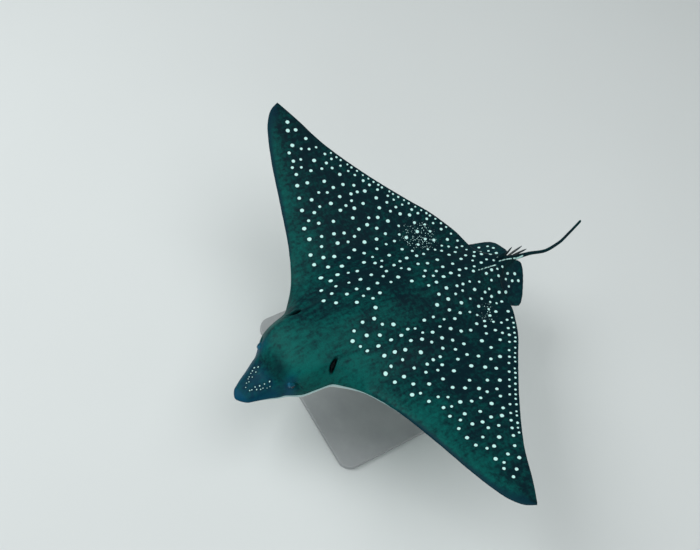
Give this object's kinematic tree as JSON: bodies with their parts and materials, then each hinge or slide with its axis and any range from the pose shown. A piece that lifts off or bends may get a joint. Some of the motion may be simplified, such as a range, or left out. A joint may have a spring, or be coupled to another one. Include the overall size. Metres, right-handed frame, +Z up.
{
  "type": "spotted eagle ray",
  "caption": "Life-size spotted eagle ray gliding with raised wings, white spots on a dark back, pale belly, tail spines, held by rods on a flat display base.",
  "frame": {"origin": "middle of the stand base's underside, on the floor", "axes": "+Z up, the snout points to -Y and the tail to +Y, +X to the animal's left, wing to wing"},
  "size_m": [1.5366, 1.3641, 0.5705],
  "materials": {
    "skin": "smooth, faintly glossy skin: dark blue-green back with white spots, white belly",
    "eye": "glossy dark eye",
    "sting": "dull dark horn",
    "stand_base": "satin light grey paint",
    "stand_rod": "brushed"
  },
  "bodies": {
    "root": {"snout": "skin", "head": "skin", "trunk": "skin", "wing_left": "skin", "wing_right": "skin", "pelvic_fin_left": "skin", "pelvic_fin_right": "skin", "dorsal_fin": "skin", "tail_root": "skin", "tail_middle": "skin", "tail_end": "skin", "tail_spine_1": "sting", "tail_spine_2": "sting", "tail_spine_3": "sting", "eye_left": "eye", "eye_right": "eye", "stand_base": "stand_base", "stand_rod_front": "stand_rod", "stand_rod_rear": "stand_rod"}
  },
  "joints": []
}
